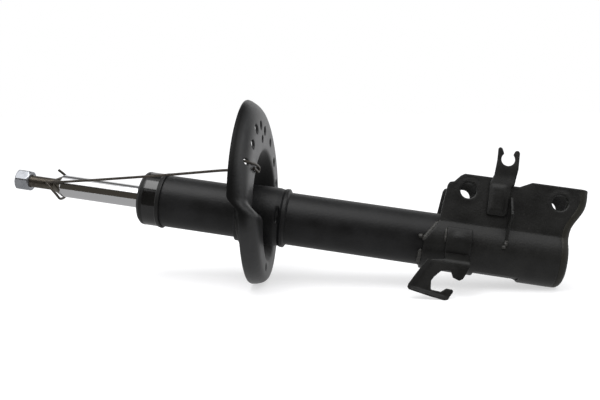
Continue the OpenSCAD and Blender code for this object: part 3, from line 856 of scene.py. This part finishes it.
def clip_place(u, v):
    """The strip in place, its hook's edge turned out and a swelling pressed in its foot."""
    p = place_on(clip_line, v)
    z = clip_total - v - CLIP_DOWN
    if z < BEND_AT:
        near_edge = distance_to(u, z, HOOK_EDGE)
        out = 3.0 * (1 - ease((near_edge - 0.4) / 3.2))
    else:
        out = 1.1 * (1 - ease(math.hypot(u - SWELL_X, v - SWELL_V) / SWELL_R))
    return Vector((u, p.x - out, p.y))


hook = [(257, -22), (248.5, -37), (243.4, -46.5), (243, -49), (244.6, -51.3), (276.6, -56.4),
        (279.6, -56), (284, -47.4), (283, -45.6), (277.4, -45.4), (273, -49), (264, -48.4),
        (263.4, -40.4), (265.6, -36.6), (271, -30.6), (276, -29.4), (279.6, -29.6),
        (282, -35), (288, -37), (291, -35), (296, -24)]
clip_outline = ([(273, 0.8), (273, clip_v(-19.5))] + [(x, clip_v(z)) for x, z in hook]
                + [(296, clip_v(-20)), (296, 0.8)])
sheet("line_clip", rounded(clip_outline, 1.6), [], TAB, clip_place, [BRACKET_COAT],
      "bracket_coat", at=LEANED, stands_for=["line_clip"], step=1.6, edge=0.9)
bead("weld_clip", [on_tube(272.4, 20, WRAP_R + 0.6), on_tube(272.2, 8, WRAP_R + 0.6),
                   on_tube(272.4, -6, WRAP_R + 0.6)], 1.2, LEANED, 9.0)


# ---- retaining wire, hooked round the stud and through the pan ----

wire_route = [
    (-115, 2, 15), (-109.8, 5, 10.6), (-108.2, 11.8, 5), (-108, 13, -3.2), (-108, 7.6, -11.6),
    (-108, -3.8, -12.9), (-109.5, -10.4, -8), (-116, -10.4, -2), (-121.5, -8.6, 2.6),
    (-117, -9.6, 3.8), (-90, -17, 9), (0, -38, 29.5), (58, -53, 43.6), (71, -58, 46.8),
    (79, -63.5, 51), (84.5, -67.3, 57.2), (89.5, -64, 56.8), (93.2, -50, 54),
    (94.3, -38, 50.5), (94.5, -35.5, 48), (94.1, -38.5, 46.2), (93.7, -48, 49),
    (92.9, -56, 51)]
WIRE_R = 1.25
wire = swept("retaining_wire", smooth_path(wire_route, 8), WIRE_R, [WIRE_IRON], "wire_iron",
             sides=16, body=None, stands_for=["retaining_wire"])
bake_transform(wire)


# ---- studio ----

def flat_board(name, corners, material):
    """One flat face of the studio."""
    mesh = bpy.data.meshes.new(name)
    mesh.from_pydata(corners, [], [tuple(range(len(corners)))])
    mesh.materials.append(material)
    obj = bpy.data.objects.new(name, mesh)
    bpy.context.scene.collection.objects.link(obj)
    return obj


def glow(name, colour):
    """A plain colour that gives its own light."""
    made = bpy.data.materials.new(name)
    made.use_nodes = True
    tree = made.node_tree
    tree.nodes.clear()
    lamp = tree.nodes.new("ShaderNodeEmission")
    lamp.inputs["Color"].default_value = [*colour, 1]
    lamp.inputs["Strength"].default_value = 1.0
    end = tree.nodes.new("ShaderNodeOutputMaterial")
    tree.links.new(lamp.outputs[0], end.inputs["Surface"])
    return made


floor_paint = bpy.data.materials.new("studio_floor")
floor_paint.use_nodes = True
floor_shader = floor_paint.node_tree.nodes["Principled BSDF"]
floor_shader.inputs["Base Color"].default_value = (0.5, 0.5, 0.51, 1)
floor_shader.inputs["Roughness"].default_value = 1.0
floor_shader.inputs["Specular IOR Level"].default_value = 0.0
floor_shader.inputs["Emission Color"].default_value = (1, 1, 1, 1)
floor_shader.inputs["Emission Strength"].default_value = 0.56
FLOOR = 6
flat_board("studio_floor", [(-FLOOR, -FLOOR, 0), (FLOOR, -FLOOR, 0), (FLOOR, FLOOR, 0),
                            (-FLOOR, FLOOR, 0)], floor_paint)

# Boards that only reflections see: a dark room in front, a dimmed floor underneath and a
# shade above and behind.
dark = glow("dark_board", (0.07, 0.063, 0.052))
dim = glow("dim_board", (0.55, 0.55, 0.55))
shade = glow("shade_board", (0.18, 0.18, 0.18))
WIDE, DARK_FROM, DARK_TO, DARK_TOP, DIM_TO = 5, -0.24, -2.4, 2.3, 0.7
SHADE_FROM, SHADE_TO, SHADE_Z = 0.42, 1.6, 1.42


def level_board(y0, y1, z):
    return [(-WIDE, y0, z), (WIDE, y0, z), (WIDE, y1, z), (-WIDE, y1, z)]


boards = [
    (level_board(DARK_FROM, DARK_TO, 0.004), dark),
    ([(-WIDE, DARK_TO, 0.0), (WIDE, DARK_TO, 0.0), (WIDE, DARK_TO, DARK_TOP),
      (-WIDE, DARK_TO, DARK_TOP)], dark),
    (level_board(DARK_FROM, DIM_TO, 0.003), dim),
    (level_board(SHADE_FROM, SHADE_TO, SHADE_Z), shade)]
for k, (corners, card) in enumerate(boards):
    board = flat_board(f"reflected_board_{k + 1}", corners, card)
    board.visible_camera = False
    board.visible_diffuse = False
    board.visible_shadow = False
    board.visible_transmission = False
    board.visible_volume_scatter = False


def soft_box(name, place, look_at, width, height, power):
    """A rectangular lamp turned towards a place."""
    lamp = bpy.data.lights.new(name, "AREA")
    lamp.shape = "RECTANGLE"
    lamp.size, lamp.size_y = width, height
    lamp.energy = power
    obj = bpy.data.objects.new(name, lamp)
    bpy.context.scene.collection.objects.link(obj)
    obj.location = place
    obj.rotation_euler = (Vector(look_at) - Vector(place)).to_track_quat("-Z", "Y").to_euler()


soft_box("soft_box_top", (0.0, -0.5, 1.4), (0, 0, 0.08), 2.4, 1.1, 10)
soft_box("soft_box_left", (-0.18, -0.26, 0.9), (-0.16, 0, 0.1), 0.34, 0.62, 2.4)

world = bpy.data.worlds.new("studio")
world.use_nodes = True
sky = world.node_tree.nodes["Background"]
sky.inputs["Color"].default_value = (1, 1, 1, 1)
sky.inputs["Strength"].default_value = 1.0
bpy.context.scene.world = world
bpy.context.scene.view_settings.view_transform = "Standard"

lens = bpy.data.cameras.new("camera")
lens.lens, lens.sensor_width = 44.25, 36.0
lens.shift_x, lens.shift_y = 0.0005, 0.0012
lens.clip_start, lens.clip_end = 0.01, 50
camera = bpy.data.objects.new("camera", lens)
bpy.context.scene.collection.objects.link(camera)
CAMERA_AT, TURNED, RAISED, ROLLED = (0.09813, -0.70302, 0.18143), 7.105, 81.882, -0.684
camera.matrix_world = (Matrix.Translation(CAMERA_AT)
                       @ Matrix.Rotation(math.radians(TURNED), 4, "Z")
                       @ Matrix.Rotation(math.radians(RAISED), 4, "X")
                       @ Matrix.Rotation(math.radians(ROLLED), 4, "Z"))
bpy.context.scene.camera = camera

bpy.context.view_layer.update()
